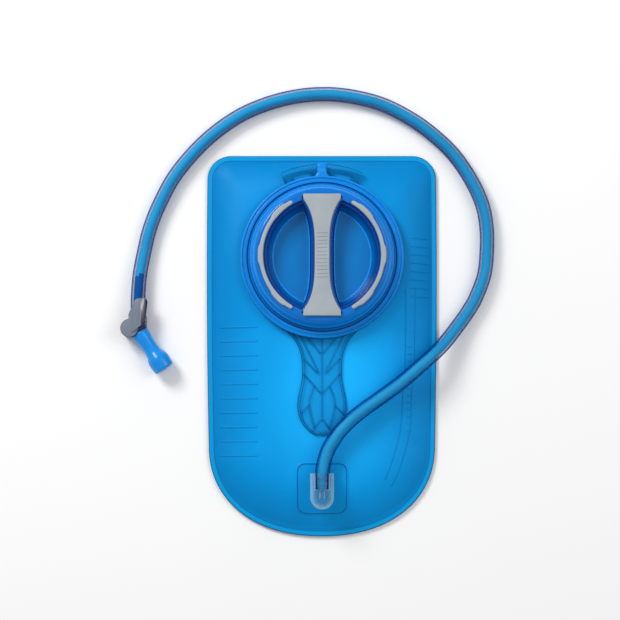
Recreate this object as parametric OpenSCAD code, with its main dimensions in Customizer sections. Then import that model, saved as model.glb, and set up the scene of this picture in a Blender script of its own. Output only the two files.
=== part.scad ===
// Hydration bladder: a welded film bag with a quarter-turn fill cap, a clear carry handle,
// a drinking tube and a bite valve with a shut-off lever.
// It lies on its back. +X is across the bag, +Y runs to its top edge and +Z points up
// through the cap. The origin is under the middle of the bag, on the surface it lies on.

/* [Bag] */
// Width of the bag at its widest, over the weld
bag_w = 166; // [150:1:200]
// Length of the bag from top edge to rounded end, over the weld
bag_l = 274; // [250:1:330]
// Height of the flat part of the front film
bag_h = 14; // [10:0.5:20]
// Thickness of each film
film_t = 0.6; // [0.4:0.1:0.8]
// Width of the welded edge
weld_w = 4; // [3:0.5:6]
// Width over which the front film comes down to the weld
slope_w = 12; // [8:0.5:16]
// Radius of the two top corners
corner_r = 17; // [10:1:24]
// Length of the rounded bottom end
round_l = 65; // [50:1:75]
// How far the sides draw in towards the rounded end
side_draw = 2.1; // [0:0.1:5]

/* [Fill port] */
// Diameter of the mouth that the bag is filled through
mouth_d = 86; // [70:1:100]
// Wall of the threaded neck
neck_wall = 3; // [2.5:0.1:4]
// Height of the neck above the film
neck_h = 15; // [13:0.5:18]
// Thickness of the welded flange and of the handle's plate
plate_t = 1.6; // [1.2:0.1:2]
// Radial depth of the thread ramps
ramp_depth = 0.6; // [0.4:0.1:1]
// Rise of the thread in one full turn
thread_lead = 16; // [15:0.5:20]
// Space between the outside of the hang loops and the weld
loop_gap = 4; // [1:0.5:6]

/* [Handle] */
// Length of the carry handle beyond the flange
handle_l = 70; // [60:1:85]
// Width of the handle at its waist
handle_w = 28.4; // [22:0.2:34]
// Width of the handle's rounded end
handle_end_w = 35; // [30:1:42]
// Height of the handle's rim above the film
handle_h = 3.6; // [2.4:0.2:4]
// Width of the handle's rim
handle_rim_w = 2.4; // [1.6:0.2:3]
// Width of the handle's ribs
rib_w = 1.4; // [1:0.1:2]

/* [Cap] */
// Thickness of the cap's skirt at its widest
skirt_wall = 5; // [5:0.1:7]
// Height of the cap's top edge above the film
cap_h = 20; // [19:0.5:24]
// Depth of the two finger wells
well_depth = 13.4; // [10:0.2:13.4]
// Wall under the finger wells
well_floor = 1.6; // [1.2:0.1:2]
// Height of the soft grips above the cap
grip_h = 2.2; // [1.6:0.1:3]
// Width of the grip bar at its waist
grip_waist = 10.4; // [8:0.2:14]
// Width of the grip bar at its ends
grip_end_w = 27.2; // [22:0.2:32]
// Width of the two grip arcs
grip_arc_w = 4; // [3:0.2:4.4]

/* [Tether] */
// Width of the tether ring outside the cap
ring_w = 5; // [3:0.2:6]
// Thickness of the tether ring
ring_t = 3.8; // [3:0.1:3.8]
// Width of the tether strap
strap_w = 5.8; // [4:0.2:6.4]
// Thickness of the tether strap
strap_t = 1.6; // [1.2:0.1:2]

/* [Exit port] */
// Distance from the rounded end of the bag to the end of the tube
exit_rise = 33; // [30:1:45]
// Width of the welded patch under the exit port
patch_w = 38; // [30:1:50]
// Outer diameter of the clear sleeve round the tube
sleeve_d = 16.8; // [15:0.2:20]

/* [Tube and valve] */
// Outer diameter of the drinking tube
tube_d = 10.5; // [9.5:0.1:11]
// Diameter of the water passages
water_d = 4; // [3:0.2:4.4]
// Outer diameter of the shut-off valve's housing
housing_d = 13.2; // [12.8:0.1:14]
// Diameter of the turning barrel
barrel_d = 9.9; // [9:0.1:10.3]
// Length of the bite valve
bite_l = 32; // [28:1:38]
// Diameter of the bite valve's mouth end
bite_d = 15.8; // [14:0.1:16]
// Diameter of the stem that the bite valve is pushed onto
stem_d = 6.8; // [6:0.1:7]

/* [Fits] */
// Clearance between pieces that move past each other
gap = 0.3; // [0.2:0.05:0.4]
// Radial clearance of the turning barrel in its bore
run_fit = 0.05; // [0.02:0.01:0.1]

/* [Hidden] */
$fn = 96;
SMALL_FN = 48;

// Radii of the neck, the cap and the tether ring, from the inside out
mouth_r = mouth_d / 2;
neck_r = mouth_r + neck_wall;
skirt_gap = 1.7;
skirt_in_r = neck_r + ramp_depth + skirt_gap;
cap_r = skirt_in_r + skirt_wall;
groove_r = cap_r - 2;
ring_r = cap_r + ring_w;
flange_r = ring_r - 1.3;
seat_r = ring_r + 0.2;
loop_r = ring_r + 9.2;
loop_band = 3.9;
well_top_r = mouth_r - 1.6;
well_floor_r = mouth_r - 7;

// Places of the two ports along the bag
port_y = bag_l / 2 - weld_w - loop_gap - loop_r;
exit_y = exit_rise - bag_l / 2;
drop_y = exit_y - 6;

// Heights
film_z = bag_h;
plate_z = film_z + plate_t;
neck_z = film_z + neck_h;
rim_gap = 1.2;
cap_low_z = plate_z + rim_gap;
lip_z = cap_low_z + 0.8;
ring_z = lip_z + gap;
groove_z = ring_z + ring_t + gap;
cap_top_z = film_z + cap_h;
well_z = cap_top_z - well_depth;
roof_z = neck_z + 2;
patch_t = 0.6;
exit_z = film_z + 8;

// Outline of the bag, counter-clockwise from the middle of the rounded end. The right half is
// a superellipse, a side, a corner arc and half the top edge, and the left half mirrors it.
ROUND_STEPS = 14;
SIDE_STEPS = 8;
CORNER_STEPS = 6;
TOP_STEPS = 4;
ROUND_POWER = 2.2;
WIDEST_Y = 75;
round_y = round_l - bag_l / 2;
corner_y = bag_l / 2 - corner_r;

function side_x(y, inset) =
    bag_w / 2 - inset - side_draw * pow((y - WIDEST_Y) / (0.55 * bag_l), 2);
function right_half(inset) =
    let (corner_x = side_x(corner_y, inset) - (corner_r - inset))
    concat(
        [for (i = [0:ROUND_STEPS - 1])
            let (a = 90 * i / ROUND_STEPS)
            [side_x(round_y, inset) * pow(sin(a), 2 / ROUND_POWER),
             round_y - (round_l - inset) * pow(cos(a), 2 / ROUND_POWER)]],
        [for (i = [0:SIDE_STEPS - 1])
            let (y = round_y + (corner_y - round_y) * i / SIDE_STEPS)
            [side_x(y, inset), y]],
        [for (i = [0:CORNER_STEPS - 1])
            let (a = 90 * i / CORNER_STEPS)
            [corner_x + (corner_r - inset) * cos(a), corner_y + (corner_r - inset) * sin(a)]],
        [for (i = [0:TOP_STEPS]) [corner_x * (1 - i / TOP_STEPS), bag_l / 2 - inset]]);
function bag_outline(inset) =
    let (half = right_half(inset), last = len(half) - 1)
    concat(half, [for (i = [last - 1:-1:1]) [-half[i][0], half[i][1]]]);

// The front film is a web of rays from the port to the outline. Its rings are given from the
// hole outwards: two round the port, two on the flat, and the rest down the slope to the weld.
WELD_LINE = bag_outline(weld_w);
EDGE_LINE = bag_outline(0);
FLAT_SHARES = [0.35, 0.7];
SLOPE_SHARES = [1, 0.75, 0.5, 0.28, 0.12];
SLOPE_FULLNESS = 0.8;
film_hole_r = mouth_r + 0.2;

function port_circle(p, r) =
    let (a = atan2(p[1] - port_y, p[0])) [r * cos(a), port_y + r * sin(a)];
function slope_height(share) =
    2 * film_t + (film_z - 2 * film_t) * pow(sin(90 * share), SLOPE_FULLNESS);
function lifted(p, z) = [p[0], p[1], z];
function film_ray(i) =
    let (weld = WELD_LINE[i], seat = port_circle(weld, seat_r), run = norm(weld - seat),
         slope = min(slope_w, run), top = seat + (weld - seat) * (1 - slope / run))
    concat(
        [lifted(port_circle(weld, film_hole_r), film_z), lifted(seat, film_z)],
        [for (s = FLAT_SHARES) lifted(seat + (top - seat) * s, film_z)],
        [for (s = SLOPE_SHARES) lifted(weld + (top - weld) * s, slope_height(s))],
        [lifted(weld, 2 * film_t), lifted(EDGE_LINE[i], 2 * film_t)]);

// Closed shell between the rays and their copies one thickness lower
module web_shell(rays, thickness) {
    count = len(rays);
    rings = len(rays[0]);
    top = [for (ray = rays) each ray];
    bottom = [for (p = top) p - [0, 0, thickness]];
    low = count * rings;
    skins = [for (i = [0:count - 1], k = [0:rings - 2])
        let (a = i * rings + k, b = ((i + 1) % count) * rings + k)
        each [[a, b, b + 1, a + 1], [low + a, low + a + 1, low + b + 1, low + b]]];
    rims = [for (i = [0:count - 1])
        let (a = i * rings, b = ((i + 1) % count) * rings, c = a + rings - 1, d = b + rings - 1)
        each [[a, low + a, low + b, b], [c, d, low + d, low + c]]];
    polyhedron(concat(top, bottom), concat(skins, rims), convexity = 6);
}

// Tube of a given diameter swept along points, with its ends square to its first and last
// stretches. Each ring lies square to the line through its neighbours.
TUBE_SIDES = 10;
module swept_tube(points, diameter) {
    last = len(points) - 1;
    rings = [for (i = [0:last])
        let (run = points[min(i + 1, last)] - points[max(i - 1, 0)],
             ahead = run / norm(run),
             aside = cross(ahead, [0, 0, 1]) / norm(cross(ahead, [0, 0, 1])),
             up = cross(aside, ahead))
        each [for (j = [0:TUBE_SIDES - 1])
            let (a = 360 * (j + 0.5) / TUBE_SIDES)
            points[i] + diameter / 2 * (cos(a) * aside + sin(a) * up)]];
    walls = [for (i = [0:last - 1], j = [0:TUBE_SIDES - 1])
        let (a = i * TUBE_SIDES + j, b = i * TUBE_SIDES + (j + 1) % TUBE_SIDES)
        [a, a + TUBE_SIDES, b + TUBE_SIDES, b]];
    start = [for (j = [0:TUBE_SIDES - 1]) j];
    end = [for (j = [TUBE_SIDES - 1:-1:0]) last * TUBE_SIDES + j];
    polyhedron(rings, concat(walls, [start, end]), convexity = 10);
}

// Route of the drinking tube's middle line: out of the exit port, over the corner of the
// handle, down over the right-hand edge of the bag and round its top on the surface
floor_z = 5.3;
TUBE_ROUTE = [
    [0, exit_y, exit_z], [0, -96, 22], [1, -86, 22.2], [4, -76, 22.8], [8, -69, 23.3],
    [13, -62, 23.6], [21, -54, 23.6], [31, -46, 22.8], [41, -39, 21.4], [56, -28, 20],
    [70, -16, 19.2], [78, -9, 17], [88, 1, 11.4], [99, 15, 6.6], [106, 25, floor_z],
    [111, 34, floor_z], [117, 50, floor_z], [119, 67, floor_z], [119, 84, floor_z],
    [116, 101, floor_z], [108, 119, floor_z], [96, 137, floor_z], [82, 151, floor_z],
    [66, 163, floor_z], [45, 174, floor_z], [23, 180, floor_z], [2, 182, floor_z],
    [-20, 180, floor_z], [-42, 174, floor_z], [-63, 164, floor_z], [-85, 147, floor_z],
    [-105, 124, floor_z], [-117, 102, floor_z], [-124, 84, floor_z], [-128, 67, 5.6],
    [-131, 49, 7.2], [-132, 32, 8], [-132, 20, 8]];

// The valve on the end of the tube: where the lever turns, where the tube ends, and where
// the bite valve starts and which way it points
valve_z = 8;
hub = [-137.5, 11.2];
inlet = [-132, 20];
elbow = [-132.3, 10.5];
stem_root = [-130.7, 8.3];
bite_angle = -55;
channel_x = -135.2;
channel_end_y = 9;
housing_r = housing_d / 2;
housing_top_z = 13;
barrel_low_z = 3;
barrel_bore_r = barrel_d / 2 + run_fit;
boss_r = barrel_bore_r + 1.6;
lever_z = housing_top_z + gap;
lever_hub_r = 6.3;
lever_t = 2;

// Helical bar that hugs a cylinder
HELIX_STEP = 5;
module helix_bar(r_in, r_out, z, thickness, sweep) {
    steps = round(sweep / HELIX_STEP);
    points = [for (i = [0:steps])
        let (a = i * HELIX_STEP, low = z + thread_lead * a / 360)
        each [[r_in * cos(a), r_in * sin(a), low], [r_out * cos(a), r_out * sin(a), low],
              [r_out * cos(a), r_out * sin(a), low + thickness],
              [r_in * cos(a), r_in * sin(a), low + thickness]]];
    sides = [for (i = [0:steps - 1], j = [0:3])
        let (a = 4 * i + j, b = 4 * i + (j + 1) % 4) [a, b, b + 4, a + 4]];
    last = 4 * steps;
    polyhedron(points, concat(sides, [[3, 2, 1, 0], [last, last + 1, last + 2, last + 3]]));
}

// Thread: four ramps round the neck
THREADS = 4;
ramp_sweep = 80;
ramp_t = 1.4;
ramp_z = film_z + 6;

// Turn of the whole thread about the neck's axis
thread_turn = 10;

// Half width of the grip bar at a distance from its middle: a waist that flares to the ends
FLARE_POWER = 3.6;
flare_end = mouth_r - 3.5;
bar_end = mouth_r + 0.6;
web_margin = 1.6;
function bar_half_w(t) =
    grip_waist / 2 + (grip_end_w - grip_waist) / 2 * pow(min(t / flare_end, 1), FLARE_POWER);
BAR_STEPS = 10;
function bar_side(margin, end) =
    [for (i = [0:BAR_STEPS])
        let (t = end * (2 * i / BAR_STEPS - 1)) [bar_half_w(abs(t)) + margin, t]];
function bar_outline(margin, end) =
    let (side = bar_side(margin, end))
    concat(side, [for (i = [BAR_STEPS:-1:0]) [-side[i][0], side[i][1]]]);

// Outline of the carry handle below the port: half widths at shares of its length, joined by
// smooth steps, and a half ellipse for its end
handle_top_w = 52;
handle_waist_share = 0.42;
handle_bulb_share = 0.72;
HANDLE_STEPS = 8;
function smooth(s) = s * s * (3 - 2 * s);
function handle_half_w(share) =
    share < handle_waist_share
        ? handle_w / 2 + (handle_top_w - handle_w) / 2 * pow(1 - share / handle_waist_share, 3)
        : handle_w / 2 + (handle_end_w - handle_w) / 2
            * smooth((share - handle_waist_share) / (handle_bulb_share - handle_waist_share));
handle_top_y = port_y - flange_r + 5;
handle_run = handle_l + 5;
function handle_side(inset) = concat(
    [for (i = [0:2 * HANDLE_STEPS])
        let (share = handle_bulb_share * i / (2 * HANDLE_STEPS))
        [handle_half_w(share) - inset, handle_top_y - handle_run * share]],
    [for (i = [1:HANDLE_STEPS])
        let (a = 90 * i / HANDLE_STEPS)
        [(handle_end_w / 2 - inset) * cos(a),
         handle_top_y - handle_run * handle_bulb_share
             - (handle_run * (1 - handle_bulb_share) - inset) * sin(a)]]);
function handle_outline(inset) =
    let (side = handle_side(inset), last = len(side) - 1)
    concat(side, [for (i = [last - 1:-1:0]) [-side[i][0], side[i][1]]]);

// Straight upright rib between two points
module rib(p, q, width, height) {
    run = q - p;
    translate([p[0], p[1], 0])
        rotate(atan2(run[1], run[0]))
            translate([0, -width / 2, 0])
                cube([norm(run), width, height]);
}

// Straight round hole or rod between two points
module rod(p, q, r) {
    run = q - p;
    translate(p)
        rotate([0, acos(run[2] / norm(run)), atan2(run[1], run[0])])
            cylinder(r = r, h = norm(run), $fn = SMALL_FN);
}

module back_film() {
    color("#1478c8") linear_extrude(film_t) polygon(EDGE_LINE);
}

module front_film() {
    color("#1e96e6") difference() {
        web_shell([for (i = [0:len(EDGE_LINE) - 1]) film_ray(i)], film_t);
        translate([0, drop_y, film_z - 2])
            cylinder(d = water_d, h = 4, $fn = SMALL_FN);
    }
}

// Hang loops: a band round the top of the port, open in two windows, with a groove for the
// strap between them
loop_angle = 26;
window_low = 6.8;
window_high = 20.5;
loop_base_h = plate_t + 1;
loop_h = 2.7;
loop_step = 0.5;
handle_step = 6;
strap_groove_angle = 3.7;
module ring_sector(r_in, r_out, height, low, high) {
    rotate(90 - high)
        rotate_extrude(angle = high - low)
            translate([r_in, 0]) square([r_out - r_in, height]);
}
module hang_loops() {
    difference() {
        union() {
            ring_sector(flange_r - 1, loop_r, loop_base_h, -loop_angle, loop_angle);
            for (side = [0, 1])
                mirror([side, 0, 0])
                    ring_sector(ring_r + 0.5, loop_r - loop_step, loop_h, strap_groove_angle,
                        loop_angle - loop_step);
        }
        for (side = [0, 1])
            mirror([side, 0, 0])
                translate([0, 0, -1])
                    ring_sector(ring_r - 1, loop_r - loop_band, loop_h + 2, window_low,
                        window_high);
    }
}

// Raised rim and ribs on the handle: a spine and pairs of struts in a plain truss
module handle_ribs() {
    low_y = handle_top_y - handle_run;
    bulb_y = handle_top_y - handle_run * handle_bulb_share;
    waist_y = handle_top_y - handle_run * handle_waist_share;
    linear_extrude(handle_h) difference() {
        polygon(handle_outline(0));
        polygon(handle_outline(handle_rim_w));
    }
    rib([0, handle_top_y], [0, low_y + 1], rib_w, handle_h - 0.6);
    for (side = [-1, 1]) {
        rib([side * handle_w * 0.7, handle_top_y - 4], [0, waist_y + 6], rib_w, handle_h - 0.6);
        rib([side * (handle_w / 2 - 1), waist_y + 8], [0, waist_y - 12], rib_w, handle_h - 0.6);
        rib([side * (handle_w / 2 - 1), waist_y - 4], [0, bulb_y - 10], rib_w, handle_h - 0.6);
    }
}

module fill_port() {
    color("#bfe4f5", 0.6) difference() {
        union() {
            translate([0, port_y, film_z]) {
                cylinder(r = flange_r, h = plate_t);
                hang_loops();
            }
            translate([0, 0, film_z]) difference() {
                union() {
                    linear_extrude(plate_t) polygon(handle_outline(0));
                    handle_ribs();
                }
                translate([0, port_y, plate_t]) cylinder(r = ring_r + handle_step, h = handle_h);
            }
        }
        translate([0, port_y, film_z - 1]) cylinder(r = neck_r + run_fit, h = plate_t + 2);
    }
}

// Threaded neck that stands in the flange
module port_neck() {
    color("#bfe4f5", 0.6) translate([0, port_y, 0]) difference() {
        union() {
            translate([0, 0, film_z]) cylinder(r = neck_r, h = neck_h);
            for (i = [0:THREADS - 1])
                rotate(360 * i / THREADS + thread_turn)
                    helix_bar(neck_r - 0.6, neck_r + ramp_depth, ramp_z, ramp_t, ramp_sweep);
        }
        translate([0, 0, film_z - 1]) cylinder(r = mouth_r, h = neck_h + 2);
    }
}

module cap_shell() {
    color("#0a5cc8") translate([0, port_y, 0]) {
        rotate_extrude() polygon([
            [0, well_z - well_floor], [well_floor_r + 1.2, well_z - well_floor],
            [well_top_r + 0.9, roof_z], [skirt_in_r, roof_z], [skirt_in_r, cap_low_z],
            [cap_r - 0.3, cap_low_z], [cap_r - 0.3, lip_z], [groove_r, lip_z],
            [groove_r, groove_z], [cap_r, groove_z], [cap_r, groove_z + 3],
            [cap_r - 4.8, cap_top_z - 1], [cap_r - 5.8, cap_top_z], [well_top_r, cap_top_z],
            [well_floor_r, well_z], [0, well_z]]);
        intersection() {
            translate([0, 0, well_z - 0.5])
                linear_extrude(well_depth + 0.5) polygon(bar_outline(web_margin, bar_end));
            translate([0, 0, well_z - 0.5])
                cylinder(r1 = well_floor_r + 0.5, r2 = well_top_r + 0.5, h = well_depth + 0.5);
        }
    }
}

// Flat ring under the cap's roof that seals on the neck's rim
module cap_gasket() {
    color("#e8e8e8") translate([0, port_y, neck_z + 0.1])
        rotate_extrude()
            translate([mouth_r + 0.2, 0]) square([neck_wall - 0.2, roof_z - neck_z - 0.1]);
}

grip_rib_pitch = 2.6;
grip_rib_count = 13;
module grip_bar() {
    color("#a5a5aa") translate([0, port_y, cap_top_z]) {
        linear_extrude(grip_h) polygon(bar_outline(0, bar_end));
        for (i = [0:grip_rib_count - 1])
            translate([-grip_waist / 2 + 1.4, grip_rib_pitch * (i - (grip_rib_count - 1) / 2) - 0.5,
                grip_h - 0.4])
                cube([grip_waist - 2.8, 1, 0.8]);
    }
}

// Soft arc on the rim beside each finger well, with three low finger bumps on its outside
arc_half_angle = 61;
bump_angle = 45;
bump_half_angle = 9;
bump_h = 1;
ARC_STEP = 3;
function bump(a) =
    let (near = min(abs(a), abs(abs(a) - bump_angle)))
    near < bump_half_angle ? bump_h * (1 + cos(180 * near / bump_half_angle)) / 2 : 0;
function arc_points(r, with_bumps) =
    [for (a = [-arc_half_angle:ARC_STEP:arc_half_angle + 0.1])
        (r + (with_bumps ? bump(a) : 0)) * [cos(a), sin(a)]];
module grip_arc() {
    inner = arc_points(well_top_r, false);
    outer = arc_points(well_top_r + grip_arc_w, true);
    color("#a5a5aa") translate([0, port_y, cap_top_z])
        linear_extrude(grip_h - 0.2)
            polygon(concat(outer, [for (i = [len(inner) - 1:-1:0]) inner[i]]));
}
module grip_arc_right() { grip_arc(); }
module grip_arc_left() { mirror([1, 0, 0]) grip_arc(); }

module tether_ring() {
    color("#0c50aa") translate([0, port_y, ring_z])
        rotate_extrude() polygon([[groove_r + gap, 0], [ring_r, 0], [ring_r, ring_t - 1.6],
            [ring_r - 1.6, ring_t], [groove_r + gap, ring_t]]);
}

// Flexible strap from the hang loops to the tether ring, its end just clear of the ring
module tether_strap() {
    color("#1464c8")
        translate([-strap_w / 2, port_y + ring_r + gap, film_z + loop_base_h])
            cube([strap_w, loop_r - ring_r - gap, strap_t]);
}

// Patch welded round the exit port: a shield with two rounded top corners
patch_top_y = exit_y + 20;
patch_corner_r = 6;
patch_end_l = 17;
module exit_patch() {
    color("#0f82cd") translate([0, 0, film_z]) difference() {
        linear_extrude(patch_t) polygon(concat(
            [for (i = [0:6]) let (a = 15 * i)
                [patch_w / 2 - patch_corner_r * (1 - cos(a)),
                 patch_top_y - patch_corner_r * (1 - sin(a))]],
            [for (i = [6:-1:0]) let (a = 15 * i)
                [patch_corner_r * (1 - cos(a)) - patch_w / 2,
                 patch_top_y - patch_corner_r * (1 - sin(a))]],
            [for (i = [0:12]) let (a = 180 + 15 * i)
                [patch_w / 2 * cos(a), exit_y + patch_end_l * sin(a)]]));
        translate([0, drop_y, -1]) cylinder(d = water_d, h = 3, $fn = SMALL_FN);
    }
}

// Clear elbow on the patch: a sleeve round the end of the tube, open along its top
sleeve_l = 12;
sleeve_foot_w = 12;
module exit_port() {
    sleeve_r = sleeve_d / 2;
    color("#d8eef8", 0.6) difference() {
        union() {
            rod([0, drop_y + 1, exit_z], [0, exit_y + sleeve_l, exit_z], sleeve_r);
            translate([0, drop_y + 1, exit_z]) sphere(r = sleeve_r, $fn = SMALL_FN);
            translate([-sleeve_foot_w / 2, drop_y, film_z + patch_t])
                cube([sleeve_foot_w, sleeve_l, exit_z - film_z - 2]);
        }
        translate([-sleeve_d, drop_y - sleeve_d, film_z + patch_t - sleeve_d])
            cube([2 * sleeve_d, 3 * sleeve_d, sleeve_d]);
        rod([0, exit_y, exit_z], [0, exit_y + sleeve_l + 1, exit_z], tube_d / 2 + gap);
        rod([0, drop_y, exit_z], [0, exit_y + 1, exit_z], water_d / 2);
        translate([0, drop_y, film_z - 1]) cylinder(d = water_d, h = exit_z - film_z + 1,
            $fn = SMALL_FN);
        translate([-tube_d * 0.44, exit_y + 1, exit_z])
            cube([tube_d * 0.88, sleeve_l, sleeve_d]);
    }
}

// Barbed stem that the tube is pushed onto
barb_r = 3.2;
barb_l = 12;
module exit_barb() {
    color("#d8eef8", 0.6) translate([0, exit_y, exit_z])
        rotate([-90, 0, 0])
            difference() {
                union() {
                    cylinder(r = barb_r, h = barb_l, $fn = SMALL_FN);
                    for (z = [4, 8])
                        translate([0, 0, z])
                            cylinder(r1 = barb_r + 0.4, r2 = barb_r, h = 3, $fn = SMALL_FN);
                }
                translate([0, 0, -1]) cylinder(d = water_d, h = barb_l + 2, $fn = SMALL_FN);
            }
}

module drink_tube() {
    color("#1e8cdc") swept_tube(TUBE_ROUTE, tube_d);
}

module valve_housing() {
    root = [stem_root[0], stem_root[1], valve_z];
    back = 6 * [cos(bite_angle), sin(bite_angle), 0];
    color("#14286e") difference() {
        union() {
            rod([inlet[0], elbow[1], valve_z], [inlet[0], inlet[1], valve_z], housing_r);
            translate([elbow[0], elbow[1], valve_z - housing_r + 1])
                cylinder(r = housing_r + 0.3, h = 2 * housing_r);
            rod(root - back, root, housing_r - 0.4);
            translate([hub[0], hub[1], 0]) cylinder(r = boss_r, h = housing_top_z + 1);
        }
        translate([hub[0], hub[1], barrel_low_z])
            cylinder(r = barrel_bore_r, h = housing_top_z, $fn = SMALL_FN);
        rod([channel_x, channel_end_y, valve_z], [channel_x, inlet[1] + 1, valve_z], water_d / 2);
        rod(root - back, root + back / 6, water_d / 2);
        translate([elbow[0] - 20, elbow[1] - 20, housing_top_z]) cube([40, 40, 10]);
        at_stem() translate([-20, -20, 0]) cube([40, 40, 20]);
    }
}

// Barrel with a notch on one side: the notch faces the channel while the lever points
// along the tube, and a quarter turn brings the solid side round
ring_groove_r = 0.6;
o_ring_zs = [4.4, 11.6];
module shutoff_barrel() {
    color("#e0e0e4") translate([hub[0], hub[1], 0]) difference() {
        translate([0, 0, barrel_low_z + 0.2])
            cylinder(d = barrel_d, h = lever_z - barrel_low_z - 0.2, $fn = SMALL_FN);
        translate([0.3, -barrel_d, valve_z - water_d / 2])
            cube([barrel_d, 2 * barrel_d, water_d]);
        for (z = o_ring_zs)
            translate([0, 0, z]) rotate_extrude($fn = SMALL_FN)
                translate([barrel_d / 2 - 2 * ring_groove_r, -ring_groove_r])
                    square([2 * ring_groove_r + gap, 2 * ring_groove_r]);
    }
}

module barrel_o_rings() {
    color("#202024") translate([hub[0], hub[1], 0])
        for (z = o_ring_zs)
            translate([0, 0, z]) rotate_extrude($fn = SMALL_FN)
                translate([barrel_d / 2 - ring_groove_r + 0.02, 0])
                    circle(r = ring_groove_r - 0.02, $fn = 24);
}

// Lever: a round hub and an arm that lies over the tube like a saddle
lever_tip_y = 32.2;
saddle_r = 9;
saddle_gap_r = 5.9;
module shutoff_lever() {
    color("#b4b4ba") union() {
        translate([hub[0], hub[1], lever_z]) cylinder(r = lever_hub_r, h = lever_t);
        intersection() {
            translate([0, 0, lever_z]) linear_extrude(6) polygon([
                [hub[0] + 1, hub[1] - 4], [hub[0] - 5.6, hub[1] + 2.8], [-138.6, 20.5], [-135.7, 26.3],
                [-133.6, 30.8], [-131.5, lever_tip_y], [-125.6, lever_tip_y], [-124.6, 30],
                [-125.2, 24], [-126, 18], [-129, 13]]);
            difference() {
                rod([inlet[0] + 1, hub[1] - 6, valve_z], [inlet[0] + 1, 40, valve_z], saddle_r);
                rod([inlet[0], hub[1] - 7, valve_z], [inlet[0], 41, valve_z], saddle_gap_r);
            }
        }
    }
}

module at_stem() {
    translate([stem_root[0], stem_root[1], valve_z])
        rotate([0, 0, bite_angle])
            rotate([0, 90, 0])
                children();
}

stem_l = 12;
module bite_stem() {
    color("#d8eef8") at_stem() difference() {
        cylinder(d = stem_d, h = stem_l, $fn = SMALL_FN);
        translate([0, 0, -1]) cylinder(d = water_d, h = stem_l + 2, $fn = SMALL_FN);
    }
}

// Soft mouthpiece: a slim sleeve that flares to a round head, closed by a wall with a slit
slit_w = 0.4;
head_wall = 4;
module bite_valve() {
    bite_r = bite_d / 2;
    neck = bite_r * 0.67;
    color("#1478e6") at_stem() difference() {
        rotate_extrude() polygon([
            [0, gap], [bite_r * 0.78, gap], [bite_r * 0.7, bite_l * 0.25], [neck, bite_l * 0.46],
            [bite_r * 0.76, bite_l * 0.58], [bite_r * 0.95, bite_l * 0.68], [bite_r, bite_l * 0.76],
            [bite_r, bite_l - 1.6], [bite_r - 1, bite_l - 0.6], [bite_r * 0.5, bite_l],
            [0, bite_l]]);
        translate([0, 0, gap - 1])
            cylinder(r = stem_d / 2 + gap, h = bite_l - head_wall, $fn = SMALL_FN);
        translate([-slit_w / 2, -bite_r * 0.55, bite_l - head_wall - 2])
            cube([slit_w, bite_r * 1.1, head_wall + 4]);
    }
}

back_film();
front_film();
fill_port();
port_neck();
cap_shell();
cap_gasket();
grip_bar();
grip_arc_left();
grip_arc_right();
tether_ring();
tether_strap();
exit_patch();
exit_port();
exit_barb();
drink_tube();
valve_housing();
shutoff_barrel();
barrel_o_rings();
shutoff_lever();
bite_stem();
bite_valve();
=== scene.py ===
import math

import bmesh
import bpy
import numpy as np
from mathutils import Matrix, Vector
from mathutils.geometry import tessellate_polygon


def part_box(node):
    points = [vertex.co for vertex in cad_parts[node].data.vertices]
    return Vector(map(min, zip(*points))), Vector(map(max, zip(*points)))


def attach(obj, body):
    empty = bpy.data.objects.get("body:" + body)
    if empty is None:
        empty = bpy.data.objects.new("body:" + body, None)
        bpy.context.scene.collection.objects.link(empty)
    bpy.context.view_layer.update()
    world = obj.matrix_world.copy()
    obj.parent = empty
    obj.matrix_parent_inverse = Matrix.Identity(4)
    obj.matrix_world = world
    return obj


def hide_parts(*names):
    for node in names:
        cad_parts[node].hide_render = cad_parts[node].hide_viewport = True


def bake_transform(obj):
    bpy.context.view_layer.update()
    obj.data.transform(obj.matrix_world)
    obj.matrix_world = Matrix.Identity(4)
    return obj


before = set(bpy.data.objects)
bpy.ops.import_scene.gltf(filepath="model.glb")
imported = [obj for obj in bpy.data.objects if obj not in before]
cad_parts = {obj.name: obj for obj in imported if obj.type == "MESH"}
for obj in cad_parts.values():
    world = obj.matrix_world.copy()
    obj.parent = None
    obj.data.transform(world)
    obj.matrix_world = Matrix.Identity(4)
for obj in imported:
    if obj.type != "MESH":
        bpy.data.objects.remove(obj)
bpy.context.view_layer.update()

MM = 0.001


# ---------------------------------------------------------------- places taken from the frame

def middle(node):
    low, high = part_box(node)
    return (Vector(low) + Vector(high)) / 2


film_low, film_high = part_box("front_film")
BAG_W = film_high[0] - film_low[0]
BAG_L = film_high[1] - film_low[1]
FILM_Z = film_high[2]
PORT = middle("tether_ring")
RING_R = (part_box("tether_ring")[1][0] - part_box("tether_ring")[0][0]) / 2
PORT_Y = PORT[1]
CAP_R = (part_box("cap_shell")[1][0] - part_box("cap_shell")[0][0]) / 2
CAP_LOW_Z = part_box("cap_shell")[0][2]
CAP_TOP_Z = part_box("cap_shell")[1][2]
EXIT_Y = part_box("exit_barb")[0][1]
EXIT_Z = middle("exit_barb")[2]
TUBE_D = 10.5 * MM
TURN_SEGMENTS = 144
SOFT_EDGE_ANGLE = math.radians(32)


# ---------------------------------------------------------------- camera, lights and floor

PICTURE_W = 0.4464
VIEW_CENTRE = Vector((-0.0085, 0.0248, 0.004))
CAMERA_DISTANCE = 1.25
CAMERA_TILT = math.radians(4.5)
SENSOR_W = 36.0


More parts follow.
